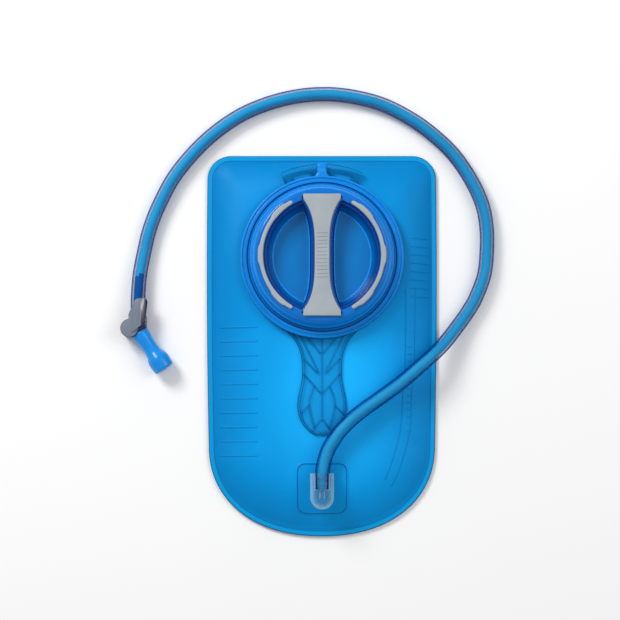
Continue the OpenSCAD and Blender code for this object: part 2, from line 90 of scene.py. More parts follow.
def make_camera():
    data = bpy.data.cameras.new("camera")
    data.sensor_width = SENSOR_W
    data.lens = SENSOR_W * CAMERA_DISTANCE / PICTURE_W
    camera = bpy.data.objects.new("camera", data)
    bpy.context.collection.objects.link(camera)
    back = Vector((0, -math.sin(CAMERA_TILT), math.cos(CAMERA_TILT)))
    camera.location = VIEW_CENTRE + back * CAMERA_DISTANCE
    camera.rotation_mode = "QUATERNION"
    camera.rotation_quaternion = (-back).to_track_quat("-Z", "Y")
    bpy.context.scene.camera = camera


def area_light(name, place, size, power):
    data = bpy.data.lights.new(name, "AREA")
    data.shape = "RECTANGLE"
    data.size, data.size_y = size
    data.energy = power
    lamp = bpy.data.objects.new(name, data)
    lamp.location = place
    lamp.rotation_mode = "QUATERNION"
    lamp.rotation_quaternion = (VIEW_CENTRE - Vector(place)).to_track_quat("-Z", "Y")
    bpy.context.collection.objects.link(lamp)


def make_lights():
    area_light("key_light", (-0.8, 0.85, 1.0), (0.5, 0.5), 15)
    area_light("fill_light", (1.0, 0.3, 1.2), (0.9, 0.9), 6)
    world = bpy.data.worlds.new("studio")
    world.use_nodes = True
    background = world.node_tree.nodes["Background"]
    background.inputs["Color"].default_value = (1.0, 1.0, 1.0, 1)
    background.inputs["Strength"].default_value = 0.5
    bpy.context.scene.world = world
    bpy.context.scene.view_settings.view_transform = "Standard"


# ---------------------------------------------------------------- materials

class Shader:
    """One Principled material and short calls that add procedural detail to it."""

    def __init__(self, name, colour, roughness=0.4, **sockets):
        self.material = bpy.data.materials.new(name)
        self.material.use_nodes = True
        self.tree = self.material.node_tree
        self.bsdf = self.tree.nodes["Principled BSDF"]
        self.bsdf.inputs["Base Color"].default_value = (*colour, 1)
        self.bsdf.inputs["Roughness"].default_value = roughness
        for socket, value in sockets.items():
            self.bsdf.inputs[socket.replace("_", " ")].default_value = value

    def node(self, kind, **settings):
        made = self.tree.nodes.new(kind)
        for key, value in settings.items():
            setattr(made, key, value)
        return made

    def link(self, source, target):
        self.tree.links.new(source, target)

    def place(self):
        return self.node("ShaderNodeTexCoord").outputs["Object"]

    def noise(self, scale, detail=3.0):
        mapping = self.node("ShaderNodeMapping")
        self.link(self.place(), mapping.inputs["Vector"])
        noise = self.node("ShaderNodeTexNoise")
        noise.inputs["Scale"].default_value = scale
        noise.inputs["Detail"].default_value = detail
        self.link(mapping.outputs["Vector"], noise.inputs["Vector"])
        return noise.outputs["Fac"]

    def ramp(self, factor, stops):
        ramp = self.node("ShaderNodeValToRGB")
        elements = ramp.color_ramp.elements
        while len(elements) < len(stops):
            elements.new(0.5)
        for element, (position, colour) in zip(elements, stops):
            element.position = position
            element.color = (*colour, 1)
        self.link(factor, ramp.inputs["Fac"])
        return ramp.outputs["Color"]

    def mixed(self, factor, first, second, blend="MIX"):
        mix = self.node("ShaderNodeMix", data_type="RGBA", blend_type=blend)
        for socket, value in ((mix.inputs[0], factor), (mix.inputs[6], first), (mix.inputs[7], second)):
            if isinstance(value, bpy.types.NodeSocket):
                self.link(value, socket)
            else:
                socket.default_value = value
        return mix.outputs[2]

    def attribute(self, name):
        return self.node("ShaderNodeAttribute", attribute_name=name).outputs["Fac"]

    def colour(self, source):
        self.link(source, self.bsdf.inputs["Base Color"])
        return self

    def speckle(self, scale, amount):
        """Small shifts of the base colour, so that no surface is one flat tone."""
        base = self.bsdf.inputs["Base Color"]
        first = base.links[0].from_socket if base.links else tuple(base.default_value)
        low, high = 1 - amount, 1 + amount
        tone = self.ramp(self.noise(scale), [(0.3, (low,) * 3), (0.7, (high,) * 3)])
        self.link(self.mixed(1.0, first, tone, "MULTIPLY"), base)
        return self

    def rough(self, scale, low, high):
        span = self.node("ShaderNodeMapRange")
        span.inputs["To Min"].default_value = low
        span.inputs["To Max"].default_value = high
        self.link(self.noise(scale, 4.0), span.inputs["Value"])
        self.link(span.outputs["Result"], self.bsdf.inputs["Roughness"])
        return self

    def bump(self, scale, depth, strength):
        bump = self.node("ShaderNodeBump")
        bump.inputs["Strength"].default_value = strength
        bump.inputs["Distance"].default_value = depth
        self.link(self.noise(scale), bump.inputs["Height"])
        self.link(bump.outputs["Normal"], self.bsdf.inputs["Normal"])
        return self


# The film's dark and bright tones are painted shade and painted light; the middle tone is the film's own
# blue.
FILM_PAINTED_SHADE = (0.0002, 0.205, 0.530)
FILM_MID = (0.0004, 0.300, 0.735)
FILM_PAINTED_LIT = (0.0080, 0.440, 0.960)
SEAM_DARK = (0.0003, 0.075, 0.240)
SEAM_LIGHT = (0.002, 0.310, 0.640)


def film_material(name, depth=1.0):
    shader = Shader(name, FILM_MID, 0.5, Specular_IOR_Level=0.08)
    # This ramp paints light and shade onto the film: shaded near the weld, lit over its middle.
    face = shader.ramp(shader.attribute("painted_light"), [
        (0.0, tuple(depth * c for c in FILM_PAINTED_SHADE)), (0.45, tuple(depth * c for c in FILM_MID)),
        (1.0, tuple(depth * c for c in FILM_PAINTED_LIT))])
    seam = shader.ramp(shader.attribute("seam"), [
        (0.0, SEAM_DARK), (0.10, SEAM_DARK), (0.18, FILM_MID), (0.42, SEAM_LIGHT),
        (0.62, SEAM_LIGHT), (0.80, FILM_MID), (0.93, (0.001, 0.125, 0.380)), (1.0, FILM_PAINTED_SHADE)])
    on_seam = shader.node("ShaderNodeMath", operation="GREATER_THAN")
    shader.link(shader.attribute("on_seam"), on_seam.inputs[0])
    on_seam.inputs[1].default_value = 0.5
    shader.colour(shader.mixed(on_seam.outputs[0], face, seam))
    return shader.speckle(22, 0.03).rough(60, 0.4, 0.55).bump(350, 0.00008, 0.25).material


def glassy(name, colour, roughness, stops, **sockets):
    """Clear plastic: lets the most light through where it is met square on."""
    shader = Shader(name, colour, roughness, **sockets)
    facing = shader.node("ShaderNodeLayerWeight").outputs["Facing"]
    grey = [(position, (share,) * 3) for position, share in stops]
    shader.link(shader.ramp(facing, grey), shader.bsdf.inputs["Alpha"])
    shader.speckle(90, 0.04).rough(120, roughness * 0.6, roughness * 1.4)
    return shader.bump(260, 0.00005, 0.3).material


def cap_material():
    shader = Shader("cap_plastic", (0.003, 0.105, 0.47), 0.22, Specular_IOR_Level=0.12,
                    Coat_Weight=0.28, Coat_Roughness=0.12)
    # This ramp paints light and shade: the dark well walls are painted shade, and the bright shoulder and
    # well beads are painted highlights.
    shader.colour(shader.ramp(shader.attribute("tone"), [
        (0.0, (0.0003, 0.190, 0.54)), (0.30, (0.0003, 0.050, 0.290)), (0.36, (0.0003, 0.050, 0.290)),
        (0.5, (0.0003, 0.150, 0.56)), (0.62, (0.0003, 0.150, 0.50)), (0.8, (0.0006, 0.230, 0.74)),
        (1.0, (0.010, 0.34, 0.95))]))
    return shader.speckle(40, 0.05).rough(80, 0.16, 0.3).bump(300, 0.00004, 0.25).material


def plain_material(name, colour, roughness, grain, **sockets):
    shader = Shader(name, colour, roughness, **sockets)
    shader.speckle(70, 0.06).rough(150, roughness * 0.8, min(1.0, roughness * 1.2))
    return shader.bump(grain, 0.00006, 0.45).material


def tube_materials():
    """The hose's tinted wall, the lighter bore seen through it, and a darker bore near the valve, which is
    painted shade.
    """
    wall = glassy("tube_wall", (0.0002, 0.048, 0.235), 0.26,
                  [(0.0, 0.10), (0.25, 0.26), (0.5, 0.68), (0.75, 0.95), (1.0, 0.99)],
                  IOR=1.15, Specular_IOR_Level=0.4)
    bores = []
    for name, colour in (("tube_bore", (0.022, 0.39, 0.76)), ("tube_bore_painted_shade", (0.002, 0.10, 0.40))):
        bore = Shader(name, colour, 0.5, Specular_IOR_Level=0.1)
        bores.append(bore.speckle(45, 0.06).rough(90, 0.4, 0.6).bump(220, 0.00004, 0.25).material)
    return [wall] + bores


def bite_material():
    shader = Shader("bite_silicone", (0.0005, 0.245, 0.72), 0.3, Specular_IOR_Level=0.2,
                    Coat_Weight=0.35, Coat_Roughness=0.2)
    return shader.speckle(120, 0.06).rough(150, 0.24, 0.38).bump(400, 0.00005, 0.35).material


# ---------------------------------------------------------------- mesh helpers

def add_mesh(name, points, faces, material, body, slot):
    mesh = bpy.data.meshes.new(name)
    mesh.from_pydata([tuple(p) for p in points], [], [tuple(f) for f in faces])
    mesh.materials.append(material)
    mesh.polygons.foreach_set("use_smooth", [True] * len(mesh.polygons))
    piece = bpy.data.objects.new(name, mesh)
    bpy.context.collection.objects.link(piece)
    if body:
        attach(piece, body)
    return piece


def tidy_normals(piece):
    bm = bmesh.new()
    bm.from_mesh(piece.data)
    bmesh.ops.remove_doubles(bm, verts=bm.verts, dist=1e-7)
    bmesh.ops.recalc_face_normals(bm, faces=bm.faces)
    bm.to_mesh(piece.data)
    bm.free()


def sharp_at(piece, degrees):
    bm = bmesh.new()
    bm.from_mesh(piece.data)
    limit = math.radians(degrees)
    for edge in bm.edges:
        edge.smooth = len(edge.link_faces) == 2 and edge.calc_face_angle(0) < limit
    bm.to_mesh(piece.data)
    bm.free()


def rounded(corners, radii, steps=4):
    """A closed polyline with each corner turned into a small arc of its own radius."""
    count = len(corners)
    made = []
    for i, corner in enumerate(corners):
        here = np.array(corner, float)
        if radii[i] <= 0:
            made.append(tuple(here))
            continue
        before = np.array(corners[i - 1], float) - here
        after = np.array(corners[(i + 1) % count], float) - here
        reach = min(radii[i], 0.45 * np.linalg.norm(before), 0.45 * np.linalg.norm(after))
        a = here + before / np.linalg.norm(before) * reach
        b = here + after / np.linalg.norm(after) * reach
        for k in range(steps + 1):
            t = k / steps
            made.append(tuple((1 - t) ** 2 * a + 2 * t * (1 - t) * here + t ** 2 * b))
    return made


def lathe(profile, segments, centre=(0, 0, 0), axis=(0, 0, 1)):
    """Points and faces of a closed (r, z) profile turned about an axis through centre."""
    turn = Vector((0, 0, 1)).rotation_difference(Vector(axis)).to_matrix()
    points = []
    for i in range(segments):
        a = 2 * math.pi * i / segments
        for r, z in profile:
            spot = turn @ Vector((r * math.cos(a), r * math.sin(a), z)) + Vector(centre)
            points.append(spot)
    rings = len(profile)
    faces = []
    for i in range(segments):
        j = (i + 1) % segments
        for k in range(rings):
            n = (k + 1) % rings
            faces.append((i * rings + k, j * rings + k, j * rings + n, i * rings + n))
    return points, faces


def prism(outline, levels):
    """A closed solid from one outline at several (inset, z) levels, capped at both ends.

    inset moves each point along the outline's inward normal, so that edges can be rounded.
    """
    line = np.array(outline, float)
    ahead, behind = np.roll(line, -1, 0) - line, line - np.roll(line, 1, 0)
    along = ahead / np.linalg.norm(ahead, axis=1)[:, None]
    along = along + behind / np.linalg.norm(behind, axis=1)[:, None]
    along /= np.maximum(np.linalg.norm(along, axis=1)[:, None], 1e-9)
    inward = np.stack([-along[:, 1], along[:, 0]], 1)
    points, faces, count = [], [], len(line)
    for inset, z in levels:
        points += [(x, y, z) for x, y in line + inward * inset]
    for level in range(len(levels) - 1):
        for i in range(count):
            j = (i + 1) % count
            a, b = level * count, (level + 1) * count
            faces.append((a + i, a + j, b + j, b + i))
    for level in (0, len(levels) - 1):
        base = level * count
        flat = [Vector((x / MM, y / MM, 0)) for x, y, _ in points[base:base + count]]
        for corners in tessellate_polygon([flat]):
            faces.append(tuple(base + i for i in corners))
    return points, faces


def soft_levels(low, high, radius, steps=3, bottom=True):
    """Levels for prism with its top edge, and its bottom edge too, rounded."""
    arc = [(radius * (1 - math.sin(a)), radius * (1 - math.cos(a)))
           for a in (0.5 * math.pi * k / steps for k in range(steps + 1))]
    rise = [(inset, low + z) for inset, z in arc] if bottom else [(0, low)]
    return rise + [(inset, high - z) for inset, z in reversed(arc)]


def smooth_path(points, spacing):
    """A Catmull-Rom line through points, resampled at an even spacing."""
    p = np.array(points, float)
    p = np.vstack([2 * p[0] - p[1], p, 2 * p[-1] - p[-2]])
    fine = []
    for i in range(1, len(p) - 2):
        for t in np.linspace(0, 1, 24, endpoint=False):
            a, b, c, d = p[i - 1], p[i], p[i + 1], p[i + 2]
            fine.append(0.5 * (2 * b + (c - a) * t + (2 * a - 5 * b + 4 * c - d) * t ** 2
                               + (3 * b - a - 3 * c + d) * t ** 3))
    fine = np.array(fine + [p[-2]])
    walked = np.concatenate([[0], np.cumsum(np.linalg.norm(np.diff(fine, axis=0), axis=1))])
    count = int(round(walked[-1] / spacing))
    marks = np.linspace(0, walked[-1], count + 1)
    return np.stack([np.interp(marks, walked, fine[:, k]) for k in range(3)], 1), walked[-1]


def sweep(path, radii, sides):
    """Rings of points round a path, with radii one number or one per point, and no twist."""
    path = np.array(path, float)
    radii = np.broadcast_to(radii, (len(path),))
    ahead = np.gradient(path, axis=0)
    ahead /= np.linalg.norm(ahead, axis=1)[:, None]
    up = np.array([0, 0, 1.0]) - ahead[0] * ahead[0][2]
    if np.linalg.norm(up) < 1e-6:
        up = np.array([1.0, 0, 0])
    points = []
    for spot, way, r in zip(path, ahead, radii):
        up = up - way * np.dot(up, way)
        up /= np.linalg.norm(up)
        side = np.cross(way, up)
        for k in range(sides):
            a = 2 * math.pi * k / sides
            points.append(spot + r * (math.cos(a) * side + math.sin(a) * up))
    faces = []
    for i in range(len(path) - 1):
        for k in range(sides):
            n = (k + 1) % sides
            faces.append((i * sides + k, i * sides + n, (i + 1) * sides + n, (i + 1) * sides + k))
    return points, faces


def bar_along(path, r, sides=12, ends=True):
    """A round bar along a path with closed, slightly domed ends."""
    path = np.array(path, float)
    if ends:
        first = path[0] - path[1]
        last = path[-1] - path[-2]
        first, last = first / np.linalg.norm(first), last / np.linalg.norm(last)
        path = np.vstack([path[0] + first * r * 0.6, path[0] + first * r * 0.4, path,
                          path[-1] + last * r * 0.4, path[-1] + last * r * 0.6])
        radii = np.concatenate([[r * 0.45, r * 0.8], np.full(len(path) - 4, r), [r * 0.8, r * 0.45]])
    else:
        radii = np.full(len(path), r)
    points, faces = sweep(path, radii, sides)
    faces.append(tuple(range(sides - 1, -1, -1)))
    faces.append(tuple(range((len(path) - 1) * sides, len(path) * sides)))
    return points, faces


def join_parts(parts):
    points, faces = [], []
    for part_points, part_faces in parts:
        base = len(points)
        points += list(part_points)
        faces += [tuple(base + i for i in face) for face in part_faces]
    return points, faces


def set_attribute(piece, name, values):
    attribute = piece.data.attributes.new(name, "FLOAT", "POINT")
    attribute.data.foreach_set("value", np.asarray(values, np.float32))


# ---------------------------------------------------------------- the tube comes first

# The route's points, in millimetres, as in the CAD source
FLOOR_Z = 5.3
TUBE_ROUTE = [
    (0, EXIT_Y / MM, EXIT_Z / MM), (0, -96, 22), (1, -86, 22.2), (4, -76, 22.8), (8, -69, 23.3),
    (13, -62, 23.6), (21, -54, 23.6), (31, -46, 22.8), (41, -39, 21.4), (56, -28, 20),
    (70, -16, 19.2), (78, -9, 17), (88, 1, 11.4), (99, 15, 6.6), (106, 25, FLOOR_Z),
    (111, 34, FLOOR_Z), (117, 50, FLOOR_Z), (119, 67, FLOOR_Z), (119, 84, FLOOR_Z),
    (116, 101, FLOOR_Z), (108, 119, FLOOR_Z), (96, 137, FLOOR_Z), (82, 151, FLOOR_Z),
    (66, 163, FLOOR_Z), (45, 174, FLOOR_Z), (23, 180, FLOOR_Z), (2, 182, FLOOR_Z),
    (-20, 180, FLOOR_Z), (-42, 174, FLOOR_Z), (-63, 164, FLOOR_Z), (-85, 147, FLOOR_Z),
    (-105, 124, FLOOR_Z), (-117, 102, FLOOR_Z), (-124, 84, FLOOR_Z), (-128, 67, 5.6),
    (-131, 49, 7.2), (-132, 32, 8), (-132, 20, 8)]
TUBE_BORE_D = 6.4 * MM
TUBE_SPACING = 2.2 * MM
TUBE_SIDES = 28
# Below and left of these limits the bore is painted darker, as shade near the valve.
BORE_SHADE_X = -120 * MM
BORE_SHADE_Y = 51 * MM


def make_tube(wall, bore, shaded_bore):
    """The hose as a hollow wall: outside, inside and the two ring-shaped ends."""
    path, length = smooth_path([(x * MM, y * MM, z * MM) for x, y, z in TUBE_ROUTE], TUBE_SPACING)
    outer, outer_faces = sweep(path, TUBE_D / 2, TUBE_SIDES)
    inner, inner_faces = sweep(path, TUBE_BORE_D / 2, TUBE_SIDES)
    base, last = len(outer), (len(path) - 1) * TUBE_SIDES
    faces = outer_faces + [tuple(base + i for i in reversed(face)) for face in inner_faces]
    for k in range(TUBE_SIDES):
        n = (k + 1) % TUBE_SIDES
        faces.append((k, base + k, base + n, n))
        faces.append((last + k, last + n, base + last + n, base + last + k))
    piece = add_mesh("drinking_tube", outer + inner, faces, wall, "bag", "tube_blue")
    piece.data.materials.append(bore)
    piece.data.materials.append(shaded_bore)
    # Bore faces near the valve take the darker bore material: painted shade.
    dark = {base + i for i, (x, y, _) in enumerate(inner) if x < BORE_SHADE_X and y < BORE_SHADE_Y}
    for face in piece.data.polygons:
        if min(face.vertices) >= base:
            face.material_index = 2 if dark.issuperset(face.vertices) else 1
    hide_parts("drink_tube")
    return piece, path, length


# ---------------------------------------------------------------- the bag

WELD_W = 4 * MM
CORNER_R = 17 * MM
ROUND_L = 65 * MM
SIDE_DRAW = 2.1 * MM
ROUND_POWER = 2.2
WIDEST_Y = 75 * MM
EDGE_Z = 2.6 * MM
FILM_T = 0.5 * MM
SLOPE_W = 42 * MM
SEAT_R = RING_R - 0.6 * MM


def side_x(y, inset=0.0):
    return BAG_W / 2 - inset - SIDE_DRAW * ((y - WIDEST_Y) / (0.55 * BAG_L)) ** 2


def bag_outline(inset, round_steps=60, side_steps=40, corner_steps=14, top_steps=16):
    """The bag's edge, counter-clockwise from the middle of its rounded end."""
    round_y, corner_y = ROUND_L - BAG_L / 2, BAG_L / 2 - CORNER_R
    half = []
    for i in range(round_steps):
        a = 0.5 * math.pi * i / round_steps
        half.append((side_x(round_y, inset) * math.sin(a) ** (2 / ROUND_POWER),
                     round_y - (ROUND_L - inset) * math.cos(a) ** (2 / ROUND_POWER)))
    for i in range(side_steps):
        y = round_y + (corner_y - round_y) * i / side_steps
        half.append((side_x(y, inset), y))
    corner_x = side_x(corner_y, inset) - (CORNER_R - inset)
    for i in range(corner_steps):
        a = 0.5 * math.pi * i / corner_steps
        half.append((corner_x + (CORNER_R - inset) * math.cos(a),
                     corner_y + (CORNER_R - inset) * math.sin(a)))
    for i in range(top_steps + 1):
        half.append((corner_x * (1 - i / top_steps), BAG_L / 2 - inset))
    return np.array(half + [(-x, y) for x, y in reversed(half[1:-1])])


WELD_LINE = bag_outline(WELD_W)
MOUTH_R = SEAT_R - 12 * MM


def distance_to_line(points, line):
    """Distance from each point to a closed polyline."""
    a, b = line, np.roll(line, -1, 0)
    run = b - a
    size = np.maximum((run ** 2).sum(1), 1e-12)
    best = np.full(len(points), 1e9)
    for start in range(0, len(points), 4000):
        p = points[start:start + 4000]
        t = np.clip(((p[:, None] - a) * run).sum(2) / size, 0, 1)
        near = a + t[..., None] * run
        best[start:start + 4000] = np.sqrt(((p[:, None] - near) ** 2).sum(2).min(1))
    return best


WELD_SIDES = [WELD_LINE[60:107], WELD_LINE[107:153], WELD_LINE[153:200],
              np.vstack([WELD_LINE[200:], WELD_LINE[:60]])]


def edge_distance(points):
    """Distance to the weld, rounded off where two sides of the bag are about as near."""
    each = []
    for side in WELD_SIDES:
        a, b = side[:-1], side[1:]
        run = b - a
        size = np.maximum((run ** 2).sum(1), 1e-12)
        t = np.clip(((points[:, None] - a) * run).sum(2) / size, 0, 1)
        each.append(np.sqrt(((points[:, None] - a - t[..., None] * run) ** 2).sum(2).min(1)))
    return (np.maximum(np.array(each), 1e-6) ** -4.0).sum(0) ** -0.25


def film_rise(points):
    """How far up its slope each point of the front film is: 0 at the weld, 1 on the flat."""
    e = edge_distance(points)
    d = np.maximum(np.hypot(points[:, 0], points[:, 1] - PORT_Y) - SEAT_R, 0)
    return np.clip(e / np.maximum(np.minimum(SLOPE_W, e + d), 1e-6), 0, 1), e, d


def film_height(points):
    """Height of the front film's outside, with faint waves along the weld."""
    points = np.asarray(points, float)
    share, e, d = film_rise(points)
    z = EDGE_Z + (FILM_Z - EDGE_Z) * np.sin(0.5 * np.pi * share) ** 0.85
    around = np.arctan2(points[:, 1] + 0.02, points[:, 0])
    waves = np.sin(around * 31 + 0.7) + 0.6 * np.sin(around * 53 + 2.1) + 0.5 * np.sin(around * 17)
    near_weld = np.exp(-e / (9 * MM)) * (1 - np.exp(-e / (2 * MM)))
    z += 0.22 * MM * waves * near_weld
    sag = np.sin(points[:, 0] * 38 + 1.1) * np.sin(points[:, 1] * 29 + 0.4)
    free = np.clip(d / (25 * MM), 0, 1) * np.clip(e / (20 * MM), 0, 1)
    free *= np.clip((np.abs(points[:, 0]) - 19 * MM) / (12 * MM), 0, 1)
    return z + (0.35 * sag - 0.4) * MM * free


def painted_light_of(points):
    """Painted light and shade for the film, fixed to the bag: 0 at the weld, 1 over its middle. Painted
    light brightens the middle, and painted shade darkens the slope near the weld, more towards the bottom
    and right.
    """
    x, y = points[:, 0] / MM, points[:, 1] / MM
    painted_glow = np.exp(-((x - 6) / 44) ** 2 - ((y + 30) / 78) ** 2)
    edge = np.clip(distance_to_line(points, WELD_LINE) / (30 * MM), 0, 1)
    # This factor lowers the edge term towards the bottom and right, which gives more painted shade there.
    low = np.clip((y + 137) / 60, 0, 1) * np.clip((95 - x) / 60, 0, 1)
    return np.clip(0.75 * painted_glow + 0.34 * edge * (0.45 + 0.55 * low), 0, 1)


def seam_values(count, rings, seam_from):
    """seam runs 0 at the outer edge to 1 at the weld line; on_seam marks the weld's rings."""
    seam = np.ones((count, rings))
    on_seam = np.zeros((count, rings))
    for k in range(seam_from, rings):
        seam[:, k] = 1 - (k - seam_from) / (rings - 1 - seam_from)
        on_seam[:, k] = 1
    return seam.ravel(), on_seam.ravel()


def ring_faces(count, rings, offset=0, flip=False):
    faces = []
    for i in range(count):
        j = (i + 1) % count
        for k in range(rings - 1):
            face = (i * rings + k, i * rings + k + 1, j * rings + k + 1, j * rings + k)
            face = tuple(offset + n for n in face)
            faces.append(tuple(reversed(face)) if flip else face)
    return faces


def make_front_film(material):
    edge = bag_outline(0)
    count = len(edge)
    slope_marks = 1 - np.linspace(1, 0, 42)
    weld_marks = np.linspace(0, 1, 9)[1:]
    tops = []
    for i in range(count):
        weld = WELD_LINE[i]
        way = weld - np.array([0, PORT_Y])
        way /= np.linalg.norm(way)
        hole = np.array([0, PORT_Y]) + way * MOUTH_R
        ray = [hole + (weld - hole) * m for m in slope_marks]
        ray += [weld + (edge[i] - weld) * m for m in weld_marks]
        tops.append(ray)
    flat = np.array(tops)
    rings = flat.shape[1]
    xy = flat.reshape(-1, 2)
    z = film_height(xy).reshape(count, rings)
    seam_from = len(slope_marks) - 1
    for k, mark in enumerate([0, *weld_marks]):
        bead = (0.35 * MM * math.exp(-((mark - 0.12) / 0.1) ** 2)
                + 0.18 * MM * math.exp(-((mark - 0.55) / 0.2) ** 2))
        drop = 0.45 * MM * max(0, (mark - 0.86) / 0.14) ** 2
        z[:, seam_from + k] = EDGE_Z + bead * (mark > 0) - drop
    top = np.column_stack([xy, z.ravel()])
    under = top.copy()
    under[:, 2] -= FILM_T
    faces = ring_faces(count, rings) + ring_faces(count, rings, len(top), True)
    for i in range(count):
        j = (i + 1) % count
        a, b, last = i * rings, j * rings, rings - 1
        faces.append((a, b, len(top) + b, len(top) + a))
        faces.append((b + last, a + last, len(top) + a + last, len(top) + b + last))
    piece = add_mesh("front_film_sheet", np.vstack([top, under]), faces, material, "bag", "film_front")
    seam, on_seam = seam_values(count, rings, seam_from)
    set_attribute(piece, "painted_light", np.tile(painted_light_of(xy), 2))
    set_attribute(piece, "seam", np.tile(seam, 2))
    set_attribute(piece, "on_seam", np.tile(on_seam, 2))
    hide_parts("front_film")


def make_back_film(material):
    """The sheet underneath: flat on the surface, turned up to the weld round its edge."""
    edge = bag_outline(0)
    count = len(edge)
    marks = np.concatenate([np.linspace(0.02, 0.8, 12), np.linspace(0.83, 1, 16)])
    weld_marks = np.linspace(0, 1, 5)[1:]
    lines = []
    for i in range(count):
        centre = np.array([0, 0])
        lines.append([centre + (WELD_LINE[i] - centre) * m for m in marks]
                     + [WELD_LINE[i] + (edge[i] - WELD_LINE[i]) * m for m in weld_marks])
    flat = np.array(lines)
    rings = flat.shape[1]
    xy = flat.reshape(-1, 2)
    e = distance_to_line(xy, WELD_LINE).reshape(count, rings)
    turn_up = 13 * MM
    z = (EDGE_Z - 2 * FILM_T) * (1 - np.sin(0.5 * np.pi * np.clip(e / turn_up, 0, 1))) ** 1.3
    z[:, len(marks) - 1:] = EDGE_Z - 2 * FILM_T
    low = np.column_stack([xy, z.ravel()])
    high = low.copy()
    high[:, 2] += FILM_T
    faces = ring_faces(count, rings, 0, True) + ring_faces(count, rings, len(low))
    hub = len(low) * 2
    points = np.vstack([low, high, [[0, 0, 0], [0, 0, FILM_T]]])
    for i in range(count):
        j = (i + 1) % count
        a, b, last = i * rings, j * rings, rings - 1
        faces.append((a + last, b + last, len(low) + b + last, len(low) + a + last))
        faces.append((hub, b, a))
        faces.append((hub + 1, len(low) + a, len(low) + b))
    piece = add_mesh("back_film_sheet", points, faces, material, "bag", "film_back")
    seam, on_seam = seam_values(count, rings, len(marks) - 1)
    set_attribute(piece, "painted_light", np.concatenate([np.tile(painted_light_of(xy), 2), [1, 1]]))
    set_attribute(piece, "seam", np.concatenate([np.tile(seam, 2), [1, 1]]))
    set_attribute(piece, "on_seam", np.concatenate([np.tile(on_seam, 2), [0, 0]]))
    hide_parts("back_film")


def film_relief(name, lines, width, height, material):
    """Low embossed bars that follow the film: each line is a list of (x, y) in millimetres."""
    parts = []
    for line in lines:
        flat, _ = smooth_path([(x * MM, y * MM, 0) for x, y in line], 1.5 * MM)
        z = film_height(flat[:, :2]) - width * MM / 2 + height * MM
        parts.append(bar_along(np.column_stack([flat[:, :2], z]), width * MM / 2, 10))
    piece = add_mesh(name, *join_parts(parts), material, "bag", "film_front")
    painted_light = painted_light_of(np.array([v.co[:2] for v in piece.data.vertices]))
    # The embossed bars take the film's painted light and shade, dimmed to 0.55.
    set_attribute(piece, "painted_light", painted_light * 0.55)
    set_attribute(piece, "seam", np.ones(len(piece.data.vertices)))
    set_attribute(piece, "on_seam", np.zeros(len(piece.data.vertices)))
    tidy_normals(piece)


# ---------------------------------------------------------------- pieces in millimetres

def mm(points):
    return [tuple(c * MM for c in point) for point in points]


def turned(name, corners, material, body, slot):
    """A lathe piece about the port's axis; corners are (r, z, corner radius) in millimetres."""
    profile = rounded([c[:2] for c in corners], [c[2] for c in corners])
    piece = add_mesh(name, *lathe(mm(profile), TURN_SEGMENTS, (0, PORT_Y, 0)), material, body, slot)
    tidy_normals(piece)
    sharp_at(piece, 35)
    return piece


# ---------------------------------------------------------------- cap

WELL_Z = 20.6
WELL_TOP_R = 41.4
WELL_FLOOR_R = 35.6
BAR_END = 43.2
GRIP_TOP_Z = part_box("grip_bar")[1][2] / MM
WEB_MARGIN = 1.6
WEB_FLARE = 1.5
ARC_END = 61


def bar_half(t):
    return 5.2 + 8.1 * min(abs(t) / 39.5, 1) ** 3.6


def bar_outline(margin, end, steps=56, corner=1.4):
    marks = [end * (2 * i / steps - 1) for i in range(steps + 1)]
    side = [(bar_half(t) + margin, t) for t in marks]
    line = side + [(-x, y) for x, y in reversed(side)]
    radii = [0] * len(line)
    for i in (0, steps, steps + 1, 2 * steps + 1):
        radii[i] = corner
    return [(x * MM, y * MM + PORT_Y) for x, y in rounded(line, radii)]


def well_edge(side, inset):
    """Closed line round one finger well's floor, in millimetres from the port's axis."""
    r = WELL_FLOOR_R - inset
    web = lambda t: bar_half(t) + WEB_MARGIN + WEB_FLARE + inset
    top = next(t for t in np.arange(r, 0, -0.25) if math.hypot(web(t), t) < r)
    line = [(side * web(t), t) for t in np.linspace(-top, top, 40)]
    a = math.atan2(top, web(top))
    return line + [(side * r * math.cos(b), r * math.sin(b)) for b in np.linspace(a, -a, 50)[1:-1]]


def cap_colour_and_painted_light(point):
    """Colour guide for the cap, partly painted light: 0 well floor, 0.33 well walls in painted shade, 0.5
    top, 0.62 skirt, 0.8 shoulder with a painted highlight.
    """
    r, z = math.hypot(point[0], point[1] - PORT_Y) / MM, point[2] / MM
    if r < WELL_TOP_R:
        return 0.0 if z < WELL_Z + 0.3 and r < WELL_FLOOR_R + 0.4 else 0.33
    if z > 33:
        return 0.5
    return 0.8 if z > 26 else 0.62


